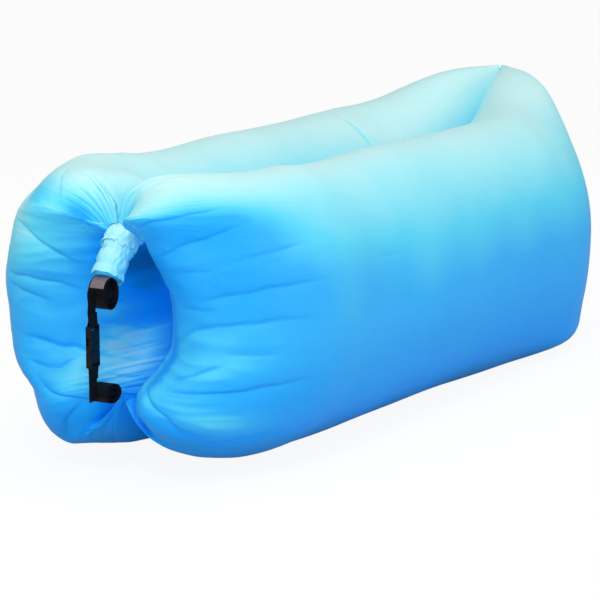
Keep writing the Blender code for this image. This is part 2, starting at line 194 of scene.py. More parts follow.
# How far in metres each stretch of the ring swings on its way from the first full ring to the slit: forward
# from the full ring, and then forward, aside and up before it comes in to the slit's edge.
first_forward = {"out": 0.458, "upper": 0.267, "lower": 0.1436}
edge_forward = {"side": 0.3494, "upper": 0.0175, "lower": 0.0143, "upper_corner": 0.2149,
                "lower_corner": 0.2891}
edge_aside = {"out": 0.0025, "upper": 0.0206, "lower": 0.05, "upper_corner": -0.0325, "lower_corner": -0.0558}
edge_up = {"upper": 0.1393, "lower": -0.1066, "lower_corner": 0.1}
out = np.maximum(outward, 0)
stretches = {"out": out, "side": out**2}
for half, height in (("upper", upward), ("lower", -upward)):
    stretches[half] = np.maximum(height, 0) ** 2
    stretches[half + "_corner"] = 4 * stretches["side"] * stretches[half]


def swing(weights):
    """What the stretches' weights come to at each point of the ring."""
    return sum(weight * stretches[stretch] for stretch, weight in weights.items())


def mouth_ring(first, share):
    """A ring between the first full one and the edge along the roll."""
    still = np.zeros(columns)
    near_first = first - np.stack([swing(first_forward), still, still], 1)
    near_end = slit_line + np.stack([-swing(edge_forward), swing(edge_aside), swing(edge_up)], 1)
    rest = 1 - share
    from_first = rest**3 * first + 3 * share * rest**2 * near_first
    return from_first + 3 * share**2 * rest * near_end + share**3 * slit_line


# Row places along the tube: -1 is the edge along the roll, 0 the first full ring and 1 the head.
first_ring = tube_section(mouth_start)
rings = [mouth_ring(first_ring, 1 - step / mouth_rows) for step in range(mouth_rows)]
row_places = [step / mouth_rows - 1 for step in range(mouth_rows)]
body_places = [step / body_rows for step in range(body_rows + 1)]
body_places += [seat_crease_row + step * seat_crease_row_step for step in range(-4, 5)]
for place in sorted(body_places):
    share = mouth_start + (1 - mouth_start) * place
    if share > rounding_start:
        share = rounding_start + (1 - rounding_start) * sin(rise(share, rounding_start) * pi / 2)
    rings.append(tube_section(share))
    row_places.append((share - mouth_start) / (1 - mouth_start))
tube_form = np.array(rings)
row_places = np.array(row_places)


def form_normals(form):
    """The directions that point out of the cloth."""
    along = np.gradient(form, axis=0)
    around = np.roll(form, -1, axis=1) - np.roll(form, 1, axis=1)
    normals = np.cross(along, around)
    normals /= np.maximum(np.linalg.norm(normals, axis=2, keepdims=True), 1e-12)
    return -normals


def ring_spacing(form):
    """Metres of surface for each degree round the ring."""
    around = np.roll(form, -1, axis=1) - np.roll(form, 1, axis=1)
    degrees = (np.roll(column_degrees, -1) - np.roll(column_degrees, 1)) % 360
    return np.linalg.norm(around, axis=2) / degrees


tube_normals = form_normals(tube_form)
degree_size = ring_spacing(tube_form)
crease_waver = 0.8


def crease(depth, line, above=0.0018, below=0.022, ends=(0.3, 0.35)):
    """How far a sharp crease presses the cloth in along a line of (row place, degrees) points.

    The cloth above rounds over and drops steeply into it; below it, the cloth rises gently again."""
    rows, degrees = np.array(sorted(line)).T
    t = (row_places - rows[0]) / (rows[-1] - rows[0])
    shake = np.array([noise.noise(Vector((r * 14, depth * 900, degrees[0]))) for r in row_places])
    centre = np.interp(row_places, rows, degrees) + crease_waver * shake
    gap = (column_degrees[None, :] - centre[:, None] + 180) % 360 - 180
    distance = np.abs(gap * degree_size)
    over_side = (np.exp(-distance / above) + np.exp(-distance / (7 * above))) / 2
    under_side = np.exp(-distance / below)
    start, end = ends if line[0][0] < line[-1][0] else ends[::-1]
    fade = soft_step(t / start) * soft_step((1 - t) / end) * ((t > 0) & (t < 1))
    return depth * fade[:, None] * np.where(gap > 0, over_side, under_side)


def pleats(middle, half, count, reach, seed):
    """Folds that fan out from the roll and flatten: count of them, up to half degrees from the middle."""
    gap = (column_degrees - middle + 180) % 360 - 180
    share = np.clip(np.abs(gap) / half, 0, 1)
    drift = np.array([[noise.noise(Vector((g * 0.09, (r + 1) * 2.2, seed))) for g in gap]
                      for r in row_places])
    phase = gap[None, :] / half * count / 2 + 0.8 * drift
    fold = np.abs(np.sin(pi * phase)) ** 0.4
    length = 0.72 + 0.5 * np.array([noise.noise(Vector((g * 0.35, seed * 2, 0))) for g in gap])
    fade = np.clip(1 - (row_places[:, None] + 1) / (reach * 2 * length[None, :]), 0, 1)
    wave = degree_size * 2 * half / count
    depth = np.minimum(0.42 * wave, 0.005) * soft_step(fade) * (1 - share[None, :] ** 4)
    return depth * (1 - fold)


# Each crease of the near and the far tube: its depth in metres, and (row place, degrees) points along it.
near_creases = (
    (0.0063, ((-0.66, 29), (-0.46, 38), (-0.37, 42), (-0.2, 52))),
    (0.0063, ((-0.5, 14), (-0.41, 16), (-0.24, 20), (-0.05, 20))),
    (0.0075, ((-0.74, -6), (-0.64, -1), (-0.4, 6), (-0.21, 8), (-0.06, 6))),
    (0.0056, ((-0.64, -20), (-0.58, -16), (-0.44, -8), (-0.36, -5))),
    (0.0100, ((-0.62, -24), (-0.52, -21), (-0.28, -18), (-0.18, -16), (-0.07, -15))),
    (0.0125, ((-0.72, -26), (-0.61, -32), (-0.5, -39), (-0.44, -46), (-0.3, -50))),
    (0.0050, ((-0.7, 45), (-0.53, 52), (-0.39, 58), (-0.25, 60))),
    (0.0031, ((-0.56, 24), (-0.34, 29))), (0.0031, ((-0.3, 33), (-0.1, 36))),
    (0.0037, ((-0.6, 8), (-0.38, 12))), (0.0031, ((-0.42, -2), (-0.2, -3))),
    (0.0044, ((-0.45, -58), (-0.1, -40))),
)
far_creases = (
    (0.0088, ((-0.3, 20), (-0.37, 18), (-0.51, 16), (-0.62, 13), (-0.72, 8))),
    (0.0094, ((-0.36, 46), (-0.46, 40), (-0.57, 32), (-0.72, 20))),
    (0.0075, ((-0.33, 15), (-0.5, 9), (-0.6, 6))),
    (0.0063, ((-0.72, 12), (-0.79, 9), (-0.84, 6), (-0.94, 0))),
    (0.0075, ((-0.7, 5), (-0.78, 2.5), (-0.84, 1), (-0.95, -4))),
    (0.0056, ((-0.72, 2), (-0.79, 0.5), (-0.91, -4))), (0.0056, ((-0.7, 0), (-0.78, -1.5), (-0.93, -8))),
    (0.0137, ((-0.38, -1), (-0.44, -3), (-0.66, -8), (-0.78, -15), (-0.93, -28))),
    (0.0075, ((-0.72, -5), (-0.8, -8), (-0.91, -20))),
    (0.0137, ((-0.43, -13), (-0.5, -15), (-0.61, -16), (-0.7, -12))),
    (0.0075, ((-0.68, -18), (-0.74, -22), (-0.84, -32), (-0.92, -42))),
    (0.0037, ((-0.4, 84), (-0.56, 77), (-0.64, 73), (-0.71, 66), (-0.78, 40))),
    (0.0094, ((-0.46, -18), (-0.52, -24), (-0.63, -39), (-0.72, -46), (-0.8, -52))),
    (0.0075, ((-0.45, -62), (-0.58, -54), (-0.73, -47))),
)
# Swells: how far in metres air pressure pushes the cloth out (below zero, lets it in) about a place, its row
# place and degrees, and how far it reaches along the rows and round the ring.
near_swells = ((0.017, 0.93, 62, 0.09, 20), (0.013, 0.81, -52, 0.12, 12))
far_swells = ((-0.020, -0.35, -33, 0.30, 13), (0.010, -0.39, -57, 0.12, 9), (0.010, -0.30, 13, 0.30, 12),
              (0.012, -0.50, -66, 0.20, 10), (-0.014, -0.34, 60, 0.12, 12), (0.012, -0.15, 84, 0.12, 10))
# The print runs from deep azure at the bottom to pale at the top. Patches are painted light and shade, partly
# a shift of the print where cloth is drawn together: how much paler (below zero, deeper) the cloth is about a
# place, which is given in the same way.
near_print_and_painted_light = ((-0.38, -0.42, 51, 0.22, 17), (-0.32, -0.64, 27, 0.15, 16), (-0.22, -0.26, 36, 0.18, 22),
                (0.42, -0.34, -38, 0.18, 9), (0.12, -0.66, -30, 0.08, 9), (-0.34, -0.675, -2, 0.03, 30),
                (-0.05, 0.0, 60, 0.30, 22), (-0.07, -0.40, -19, 0.16, 6), (0.07, -0.35, -10, 0.40, 22),
                (-0.12, -0.29, 18, 0.36, 13), (0.11, -0.40, -5, 0.14, 6), (0.10, 0.30, -35, 0.36, 20))
far_print_and_painted_light = ((0.08, -0.50, 40, 0.22, 18), (-0.34, -0.52, 67, 0.18, 11), (0.36, -0.87, -30, 0.11, 16),
               (-0.95, -0.88, 20, 0.12, 14), (-0.22, -0.90, 3, 0.07, 6), (0.16, -0.69, -26, 0.10, 12),
               (-0.04, -0.67, 36, 0.12, 12), (0.24, -0.80, -9, 0.12, 9), (0.06, -0.77, -10, 0.08, 9),
               (0.08, -0.60, -45, 0.16, 12), (-0.14, -0.74, 70, 0.10, 8), (-0.38, -0.84, 65, 0.10, 8),
               (0.18, 0.85, 125, 0.30, 30), (-0.25, 0.61, 115, 0.004, 18))

# Where the far tube's upper corner is eased: its row place and degrees, and how far that reaches.
far_corner = (-0.62, 56, 0.24, 15)
far_corner_rounds = 320
ease_beside = 0.45
ease_along = 0.2


def rounded(form, row, degrees, row_reach, degree_reach, rounds):
    """The form with its cloth eased about one place, as air pressure does where nothing draws it in."""
    near_row = ((row_places - row) / row_reach) ** 2
    share = np.exp(-near_row[:, None] - ((column_degrees - degrees)[None, :] / degree_reach) ** 2)[:, :, None]
    for turn in range(rounds):
        beside = (np.roll(form, 1, 1) + np.roll(form, -1, 1)) / 2
        along = form.copy()
        along[1:-1] = (form[2:] + form[:-2]) / 2
        form = form + share * (ease_beside * (beside - form) + ease_along * (along - form))
    return form


def spread_out(spots):
    """What a list of swells, or of patches of painted light and shade, comes to at each point of the tube."""
    shift = np.zeros(tube_form.shape[:2])
    for strength, row, degrees, row_reach, degree_reach in spots:
        gap = (column_degrees - degrees + 180) % 360 - 180
        near_row = ((row_places - row) / row_reach) ** 2
        shift += strength * np.exp(-near_row[:, None] - (gap[None, :] / degree_reach) ** 2)
    return shift


# Fans of pleats: half the fan's degrees, how many pleats, and how far they reach.
near_top_fan = (34, 17, 0.5)
far_top_fan = (26, 13, 0.4)
bottom_fan = (18, 7, 0.4)
seat_crease_depth = 0.004
seat_crease_reach = 0.003
crumple_depth = 0.0035
tubes = []
dice = np.random.RandomState(41)
for side, named, top_fan, swells, print_and_light_patches in ((-1, near_creases, near_top_fan, near_swells, near_print_and_painted_light),
                                              (1, far_creases, far_top_fan, far_swells, far_print_and_painted_light)):
    form = tube_form if side < 0 else rounded(tube_form, *far_corner, far_corner_rounds)
    pressed = -spread_out(swells)
    for depth, line in named:
        pressed += crease(depth, line)
    pressed += pleats(90, *top_fan, side * 3)
    pressed += pleats(-90, *bottom_fan, side * 5)
    # Short creases run out from the slit, and others from the seam at the head.
    for place in np.linspace(-58, 58, 24):
        start = (dice.uniform(-1.0, -0.9), place + dice.uniform(-3, 3))
        end = (dice.uniform(-0.78, -0.55), place * dice.uniform(0.75, 1.0))
        depth = dice.uniform(0.0015, 0.0035)
        pressed += crease(depth, (start, end), 0.0015, dice.uniform(0.006, 0.012), (0.1, 0.8))
    for place in np.linspace(-65, 85, 19):
        start = (1.0, place + dice.uniform(-3, 3))
        end = (dice.uniform(0.78, 0.92), place * dice.uniform(0.85, 1.1) + dice.uniform(-4, 4))
        depth = dice.uniform(0.001, 0.002)
        pressed += crease(depth, (start, end), 0.002, dice.uniform(0.010, 0.020), (0.2, 0.8))
    # Faint ones lie anywhere on the body.
    for count in range(26):
        row = dice.uniform(-0.6, 0.5)
        place = dice.uniform(-60, 120)
        run = dice.uniform(0.06, 0.16)
        depth = dice.uniform(0.0004, 0.0012)
        line = ((row, place), (row + run, place + dice.uniform(-8, 8)))
        pressed += crease(depth, line, 0.0015, dice.uniform(0.008, 0.016), (0.5, 0.5))
    # One fold crosses the far tube's slope down to the seat.
    if side > 0:
        across_seat = soft_step((column_degrees - 96) / 10) * soft_step((136 - column_degrees) / 16)
        along_seat = np.exp(-np.abs(row_places - seat_crease_row) / seat_crease_reach)
        pressed += seat_crease_depth * along_seat[:, None] * across_seat[None, :]
    near_mouth = soft_step(-row_places / 0.7)[:, None]
    crumple = np.array([[noise.noise(Vector((r * 5, d * 0.16, side * 7))) for d in column_degrees]
                        for r in row_places])
    pressed += crumple_depth * near_mouth * np.abs(crumple)
    # The patches add painted light and shade, partly the print's own shift.
    tubes.append((side, form, pressed, spread_out(print_and_light_patches)))

seam_lap = 0.002


def cloth_skin(name, form, cap_end=True, print_and_light_shift=None):
    """Skin a grid of rings. One UV map holds real lengths of cloth in metres, another the shift of print and
    painted light and shade.
    """
    rows, count = form.shape[:2]
    steps_around = np.linalg.norm(np.diff(form, axis=1), axis=2)
    steps_along = np.linalg.norm(np.diff(form, axis=0), axis=2)
    around = np.concatenate([np.zeros((rows, 1)), np.cumsum(steps_around, 1)], 1)
    along = np.concatenate([np.zeros((1, count)), np.cumsum(steps_along, 0)], 0)
    corners = form.reshape(-1, 3)
    row, column = np.meshgrid(np.arange(rows - 1), np.arange(count), indexing="ij")
    following = (column + 1) % count
    faces = np.stack([row * count + column, row * count + following, (row + 1) * count + following,
                      (row + 1) * count + column], 2).reshape(-1, 4)
    mesh = bpy.data.meshes.new(name)
    end_faces = [tuple(range((rows - 1) * count, rows * count))] if cap_end else []
    mesh.from_pydata(corners.tolist(), [], faces.tolist() + end_faces)
    lengths = mesh.uv_layers.new(name="cloth_metres")
    uv = np.zeros((len(mesh.loops), 2))
    u = around[row, column]
    wrap = np.where(following == 0, u + seam_lap, around[row, following])
    v_low = along[row, column]
    v_high = along[row + 1, column]
    quads = np.stack([np.stack([u, v_low], 2), np.stack([wrap, v_low], 2), np.stack([wrap, v_high], 2),
                      np.stack([u, v_high], 2)], 2).reshape(-1, 2)
    uv[: len(quads)] = quads
    lengths.data.foreach_set("uv", uv.ravel())
    shifts = mesh.uv_layers.new(name="cloth_dye")
    uv = np.zeros((len(mesh.loops), 2))
    if print_and_light_shift is not None:
        uv[: len(quads), 0] = print_and_light_shift.ravel()[faces.ravel()]
    shifts.data.foreach_set("uv", uv.ravel())
    mesh.shade_smooth()
    mesh.update()
    item = bpy.data.objects.new(name, mesh)
    bpy.context.scene.collection.objects.link(item)
    item.location.x = -mouth_to_middle
    return item


def srgb(red, green, blue):
    """A screen colour of 0 to 255 as the linear one that shaders take."""
    shares = [c / 255 for c in (red, green, blue)]
    return tuple(c / 12.92 if c <= 10 / 255 else ((c + 0.055) / 1.055) ** 2.4 for c in shares) + (1,)


# The weave stands up in little lumps: the waves of the two sets of threads, multiplied.
# Threads says how close they lie, in radians to the metre.
weave = bpy.data.node_groups.new("plain_weave", "ShaderNodeTree")
weave.interface.new_socket("Cloth", in_out="INPUT", socket_type="NodeSocketVector")
weave.interface.new_socket("Threads", in_out="INPUT", socket_type="NodeSocketFloat")
weave.interface.new_socket("Height", in_out="OUTPUT", socket_type="NodeSocketFloat")
weave_in = weave.nodes.new("NodeGroupInput")
weave_out = weave.nodes.new("NodeGroupOutput")
split = weave.nodes.new("ShaderNodeSeparateXYZ")
weave.links.new(weave_in.outputs["Cloth"], split.inputs[0])
thread_waves = []
for axis in (0, 1):
    spread = weave.nodes.new("ShaderNodeMath")
    spread.operation = "MULTIPLY"
    weave.links.new(split.outputs[axis], spread.inputs[0])
    weave.links.new(weave_in.outputs["Threads"], spread.inputs[1])
    wave = weave.nodes.new("ShaderNodeMath")
    wave.operation = "SINE"
    weave.links.new(spread.outputs[0], wave.inputs[0])
    thread_waves.append(wave)
crossed = weave.nodes.new("ShaderNodeMath")
crossed.operation = "MULTIPLY"
weave.links.new(thread_waves[0].outputs[0], crossed.inputs[0])
weave.links.new(thread_waves[1].outputs[0], crossed.inputs[1])
weave.links.new(crossed.outputs[0], weave_out.inputs["Height"])

# The print pales with height, with soft mottling; facing up adds painted top light, and the patches painted
# light and shade.
pale_by_height = 1.25
painted_light_by_facing = 0.22
mottle_depth = 0.16
fade_span = 0.7
fade_start = 0.3
fade = bpy.data.node_groups.new("print_and_painted_light", "ShaderNodeTree")
fade.interface.new_socket("Shift", in_out="INPUT", socket_type="NodeSocketFloat")
fade.interface.new_socket("Color", in_out="OUTPUT", socket_type="NodeSocketColor")
fade_in = fade.nodes.new("NodeGroupInput")
fade_out = fade.nodes.new("NodeGroupOutput")
surface = fade.nodes.new("ShaderNodeNewGeometry")
place = fade.nodes.new("ShaderNodeTexCoord")
place_split = fade.nodes.new("ShaderNodeSeparateXYZ")
fade.links.new(place.outputs["Object"], place_split.inputs[0])
facing = fade.nodes.new("ShaderNodeSeparateXYZ")
fade.links.new(surface.outputs["Normal"], facing.inputs[0])
mottle = fade.nodes.new("ShaderNodeTexNoise")
mottle.inputs["Scale"].default_value = 4.5
mottle.inputs["Detail"].default_value = 3
fade.links.new(place.outputs["Object"], mottle.inputs["Vector"])


def fade_math(operation, *values):
    """One sum in the print, of numbers or of what other nodes give."""
    step = fade.nodes.new("ShaderNodeMath")
    step.operation = operation
    for index, value in enumerate(values):
        if isinstance(value, (int, float)):
            step.inputs[index].default_value = value
        else:
            fade.links.new(value, step.inputs[index])
    return step.outputs[0]


height_part = fade_math("MULTIPLY", place_split.outputs["Z"], pale_by_height)
# The patches, painted light and shade with some shift of the print, come from a UV map.
print_and_light_map = fade.nodes.new("ShaderNodeUVMap")
print_and_light_map.uv_map = "cloth_dye"
print_and_light_split = fade.nodes.new("ShaderNodeSeparateXYZ")
fade.links.new(print_and_light_map.outputs["UV"], print_and_light_split.inputs[0])
# Cloth that faces up is painted paler: painted top light.
painted_facing_light = fade_math("MULTIPLY", facing.outputs["Z"], painted_light_by_facing)
mottle_part = fade_math("MULTIPLY_ADD", mottle.outputs["Fac"], mottle_depth, -mottle_depth / 2)
total = fade_math("ADD", height_part, painted_facing_light)
total = fade_math("ADD", total, mottle_part)
total = fade_math("ADD", total, print_and_light_split.outputs["X"])
total = fade_math("ADD", total, fade_in.outputs["Shift"])
total = fade_math("MULTIPLY_ADD", total, fade_span, fade_start)
ramp = fade.nodes.new("ShaderNodeValToRGB")
# The darkest stops are painted shade, reached where the patches deepen the tone.
stops = ((0.0, (0, 112, 165)), (0.19, (0, 138, 208)), (0.3, (2, 152, 242)), (0.377, (8, 158, 245)),
         (0.447, (26, 164, 247)), (0.5625, (44, 176, 247)), (0.678, (86, 212, 245)),
         (0.8145, (156, 235, 246)), (0.944, (200, 244, 245)))
ramp.color_ramp.elements[0].position = stops[0][0]
ramp.color_ramp.elements[0].color = srgb(*stops[0][1])
ramp.color_ramp.elements[1].position = stops[-1][0]
ramp.color_ramp.elements[1].color = srgb(*stops[-1][1])
for position, colour in stops[1:-1]:
    ramp.color_ramp.elements.new(position).color = srgb(*colour)
fade.links.new(total, ramp.inputs["Fac"])
fade.links.new(ramp.outputs["Color"], fade_out.inputs["Color"])


def lounger_cloth(name, shift, roughness):
    """Azure polyester with painted light: paler where it faces up and glowing faintly in its own colour, with
    its weave and the soft ripple of slack cloth.
    """
    material = bpy.data.materials.new(name)
    material.use_nodes = True
    nodes = material.node_tree.nodes
    links = material.node_tree.links
    shader = nodes["Principled BSDF"]
    shader.inputs["Roughness"].default_value = roughness
    shader.inputs["Specular IOR Level"].default_value = 0.2
    shader.inputs["Sheen Weight"].default_value = 0.03
    shader.inputs["Sheen Roughness"].default_value = 0.4
    # Painted light: the cloth glows faintly in its own colour, standing in for light shining through it into
    # its shade.
    shader.inputs["Emission Strength"].default_value = 0.1
    colour = nodes.new("ShaderNodeGroup")
    colour.node_tree = fade
    colour.inputs["Shift"].default_value = shift
    links.new(colour.outputs["Color"], shader.inputs["Base Color"])
    links.new(colour.outputs["Color"], shader.inputs["Emission Color"])
    lengths = nodes.new("ShaderNodeUVMap")
    lengths.uv_map = "cloth_metres"
    threads = nodes.new("ShaderNodeGroup")
    threads.node_tree = weave
    threads.inputs["Threads"].default_value = 9000
    links.new(lengths.outputs["UV"], threads.inputs["Cloth"])
    ripple = nodes.new("ShaderNodeTexNoise")
    ripple.inputs["Scale"].default_value = 26
    ripple.inputs["Detail"].default_value = 4
    stretch = nodes.new("ShaderNodeMapping")
    stretch.inputs["Scale"].default_value = (0.5, 1, 1.3)
    position = nodes.new("ShaderNodeTexCoord")
    links.new(position.outputs["Object"], stretch.inputs["Vector"])
    links.new(stretch.outputs["Vector"], ripple.inputs["Vector"])
    slack = nodes.new("ShaderNodeBump")
    slack.inputs["Strength"].default_value = 0.35
    slack.inputs["Distance"].default_value = 0.006
    links.new(ripple.outputs["Fac"], slack.inputs["Height"])
    fine = nodes.new("ShaderNodeBump")
    fine.inputs["Strength"].default_value = 0.15
    fine.inputs["Distance"].default_value = 0.0002
    links.new(threads.outputs["Height"], fine.inputs["Height"])
    links.new(slack.outputs["Normal"], fine.inputs["Normal"])
    links.new(fine.outputs["Normal"], shader.inputs["Normal"])
    return material


tube_cloth = lounger_cloth("azure_polyester", 0.0, 0.5)
lump_height = 0.0035
lump_scale = 4.2
for (side, form, pressed, print_and_light_shift), name in zip(tubes, ("right_side_tube_cloth", "left_side_tube_cloth")):
    lumps = np.array([[noise.noise(Vector((x * lump_scale, y * lump_scale + side * 9, z * lump_scale)))
                       for x, y, z in ring] for ring in form])
    swell = lump_height * lumps * np.clip((row_places + 1) * 3, 0, 1)[:, None]
    shaped = form + form_normals(form) * (swell - pressed)[:, :, None]
    shaped[:, :, 1] = np.maximum(shaped[:, :, 1], seat_gap)
    shaped[:, :, 2] = np.maximum(shaped[:, :, 2], 0)
    shaped[:, :, 1] *= side
    tube = cloth_skin(name, shaped, print_and_light_shift=print_and_light_shift)
    if side > 0:
        tube.data.flip_normals()
    tube.data.materials.append(tube_cloth)
    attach(tube, "lounger")
    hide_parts("right_side_tube" if side < 0 else "left_side_tube")

# A bladder of thin clear film lies inside each tube and holds the air. The cloth round it takes the strain.
# It is drawn a little inside the cloth, and only where the tube is wide enough for it.
liner_inset = 0.030
liner_floor = 0.01
liner_rows = slice(96, -9, 6)
liner_columns = slice(None, None, 8)


def plain_finish(name, roughness, colour=(0.8, 0.8, 0.8, 1), specular=0.5):
    material = bpy.data.materials.new(name)
    material.use_nodes = True
    shader = material.node_tree.nodes["Principled BSDF"]
    shader.inputs["Base Color"].default_value = colour
    shader.inputs["Roughness"].default_value = roughness
    shader.inputs["Specular IOR Level"].default_value = specular
    return material


def grain(material, scale, strength, height):
    """Roughen a material's surface with a fine grain."""
    nodes = material.node_tree.nodes
    links = material.node_tree.links
    spots = nodes.new("ShaderNodeTexNoise")
    spots.inputs["Scale"].default_value = scale
    bump = nodes.new("ShaderNodeBump")
    bump.inputs["Strength"].default_value = strength
    bump.inputs["Distance"].default_value = height
    links.new(spots.outputs["Fac"], bump.inputs["Height"])
    links.new(bump.outputs["Normal"], nodes["Principled BSDF"].inputs["Normal"])


film = plain_finish("liner_film", 0.25, (0.78, 0.82, 0.84, 1))
grain(film, 30, 0.3, 0.001)
for side, name in ((-1, "right_air_liner_film"), (1, "left_air_liner_film")):
    inner = tube_form - tube_normals * liner_inset
    inner = inner[liner_rows, liner_columns].copy()
    inner[:, :, 1] = np.maximum(inner[:, :, 1], seat_gap + liner_inset) * side
    inner[:, :, 2] = np.maximum(inner[:, :, 2], liner_floor)
    liner = cloth_skin(name, inner)
    if side > 0:
        liner.data.flip_normals()
    liner.data.materials.append(film)
    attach(liner, "lounger")
    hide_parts("right_air_liner" if side < 0 else "left_air_liner")

# The mouth of the tubes is rolled up tight round a flat strip, over and over, and the roll is bent into a C.
# Its middle lies deep between the tubes; its upper end comes out as a neck of gathered cloth.
roll_depth = 0.2301
roll_half_height = 0.1626
neck_start = Vector((-0.2592, 0, 0.3896))
neck_corner = Vector((-0.2187, 0, 0.4692))
neck_steps = 14
tail_end = Vector((-0.2455, 0, 0.1725))
tail_corner = Vector((-0.1900, 0, 0.1560))
tail_steps = 12
tail_start = 72
neck_swelling = 0.36
tail_thinning = 0.48
turns = 2.4
cloth_edge_angle = -1.9
spiral_start = 0.0100
spiral_end = 0.0198
spiral_steps = 110
cloth_layer = 0.0022


def along_arc(angle):
    """A point on the C of the roll's middle line, from 90 degrees at its top to -90 at its bottom."""
    deep = roll_depth * cos(angle) ** slit_squareness
    up = float(signed_power(sin(angle), slit_squareness))
    return Vector((deep + slit_ends, 0, slit_middle + roll_half_height * up))


def eased(start, corner, end, steps):
    """Points on a curve from start to end that bends towards the corner."""
    return [start * (1 - t) ** 2 + corner * 2 * t * (1 - t) + end * t * t for t in np.linspace(0, 1, steps)]


arc = [along_arc(radians(a)) for a in np.linspace(75, -75, 61)]
roll_line = eased(neck_start, neck_corner, arc[0], neck_steps)[:-1] + arc
roll_line += eased(arc[-1], tail_corner, tail_end, tail_steps)[1:]


def line_frames(points):
    """Each point with the directions away from the roll's hollow side and ahead along it."""
    frames = []
    for index, point in enumerate(points):
        ahead = points[min(index + 1, len(points) - 1)] - points[max(index - 1, 0)]
        ahead.normalize()
        frames.append((point, Vector((-ahead.z, 0, ahead.x)), ahead))
    return frames


rings = []
for index, (point, away, ahead) in enumerate(line_frames(roll_line)):
    outer_face = []
    inner_face = []
    swelling = 1 + neck_swelling * max(1 - index / neck_steps, 0)
    swelling *= 1 - tail_thinning * soft_step((index - tail_start) / tail_steps)
    for step in range(spiral_steps + 1):
        turn = (step / spiral_steps - 1) * turns
        radius = (spiral_start + (spiral_end - spiral_start) * step / spiral_steps) * swelling
        phi = 2 * pi * turn + cloth_edge_angle
        tug = 0.0009 * noise.noise(Vector((cos(phi) * 1.6, sin(phi) * 1.6, index * 0.16)))
        tug += 0.0007 * noise.noise(Vector((cos(phi) * 3, sin(phi) * 3, index * 0.55)))
        if turn > -1:
            radius += tug
        for face, offset in ((outer_face, cloth_layer / 2), (inner_face, -cloth_layer / 2)):
            reach = radius + offset
            face.append(point + away * (reach * cos(phi)) + Vector((0, reach * sin(phi), 0)))
    rings.append([tuple(p) for p in outer_face + list(reversed(inner_face))])
roll_form = np.array(rings)


def close_ends(item, caps):
    """Add faces over the ends of a skin, which keeps the cloth's lengths."""
    skin = item.data
    polygons = [tuple(face.vertices) for face in skin.polygons] + [tuple(cap) for cap in caps]
    closed = bpy.data.meshes.new(skin.name)
    closed.from_pydata([tuple(corner.co) for corner in skin.vertices], [], polygons)
    lengths = closed.uv_layers.new(name="cloth_metres")
    for index, loop in enumerate(skin.uv_layers["cloth_metres"].data):
        lengths.data[index].uv = loop.uv
    closed.shade_smooth()
    item.data = closed


mouth_roll = cloth_skin("mouth_roll_cloth", roll_form, cap_end=False)
roll_count = roll_form.shape[1]
caps = []
for base, turn_over in ((0, True), ((len(rings) - 1) * roll_count, False)):
    for k in range(spiral_steps):
        quad = [base + k, base + k + 1, base + roll_count - 2 - k, base + roll_count - 1 - k]
        caps.append(quad[::-1] if turn_over else quad)
close_ends(mouth_roll, caps)
mouth_roll.data.materials.append(lounger_cloth("rolled_mouth_cloth", 0.0, 0.5))
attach(mouth_roll, "lounger")
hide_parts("mouth_roll")

# Where the roll comes out at the top, its cloth is scrunched into a short neck with a looser collar over it.
# The collar's hem is ragged, and the neck ends in a turned lip above the webbing.
neck_line = [Vector((-0.2650, 0, 0.3830)), Vector((-0.2440, 0, 0.4110)), Vector((-0.2200, 0, 0.4390)),
             Vector((-0.1960, 0, 0.4590)), Vector((-0.1620, 0, 0.4680))]
sleeve_rows = 64
sleeve_columns = 132
lip_rows = 8
lip_rise = 0.0014
lip_narrowing = 0.0005
band_height = 0.0036
pleat_height = 0.0012


def curve_through(points, share):
    """The place at one share, from 0 to 1, of a smooth curve through the points."""
    spot = min(max(share, 0), 1) * (len(points) - 1)
    k = min(int(spot), len(points) - 2)
    t = spot - k
    a = points[max(k - 1, 0)]
    b = points[k]
    c = points[k + 1]
    d = points[min(k + 2, len(points) - 1)]
    return 0.5 * (2 * b + (c - a) * t + (2 * a - 5 * b + 4 * c - d) * t * t + (3 * b - a - 3 * c + d) * t**3)


mouth_cloth = lounger_cloth("pale_mouth_cloth", 0.1, 0.5)


def sleeve(name, low, high, radius, bands, ragged, flare, seed):
    """A scrunched sleeve of cloth on the neck line between two shares of it, its hem turned in to a lip."""

    def rough(fineness, phi, place):
        return noise.noise(Vector((cos(phi) * fineness, sin(phi) * fineness, place)))

    form = []
    for row in range(sleeve_rows + lip_rows):
        ring = []
        inside = max(row - sleeve_rows, 0)
        row_share = min(row, sleeve_rows) / sleeve_rows
        for column in range(sleeve_columns):
            phi = 2 * pi * column / sleeve_columns
            hem = low + ragged * rough(2.4, phi, seed)
            hem += ragged * 0.6 * rough(6, phi, seed)
            spot = high + (hem - high) * row_share
            centre = curve_through(neck_line, spot)
            ahead = curve_through(neck_line, spot + 0.03) - curve_through(neck_line, spot - 0.03)
            ahead.normalize()
            away = Vector((-ahead.z, 0, ahead.x))
            tilt = 0.35 * cos(phi + seed) + 0.8 * rough(1.3, phi, seed + 4)
            band = abs(sin(bands * pi * spot + tilt)) ** 0.6
            reach = radius + band_height * (band - 0.6)
            reach += pleat_height * abs(sin(7 * phi + 4 * rough(1, phi, spot * 5 + seed)))
            reach += 0.0016 * rough(3.5, phi, spot * 12 + seed)
            reach += flare * row_share**2 * (0.6 + 0.8 * rough(2, phi, seed + 9))
            reach -= inside * lip_narrowing
            shift = ahead * (inside * lip_rise)
            ring.append(tuple(centre + shift + away * (reach * cos(phi)) + Vector((0, reach * sin(phi), 0))))
        form.append(ring)
    item = cloth_skin(name, np.array(form), cap_end=False)
    item.data.materials.append(mouth_cloth)
    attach(item, "lounger")


sleeve("neck_sleeve", 0.07, 0.95, 0.0262, 5, 0.02, 0.0036, 8.0)
sleeve("neck_collar", 0.47, 0.98, 0.0295, 4, 0.06, 0.0046, 3.0)

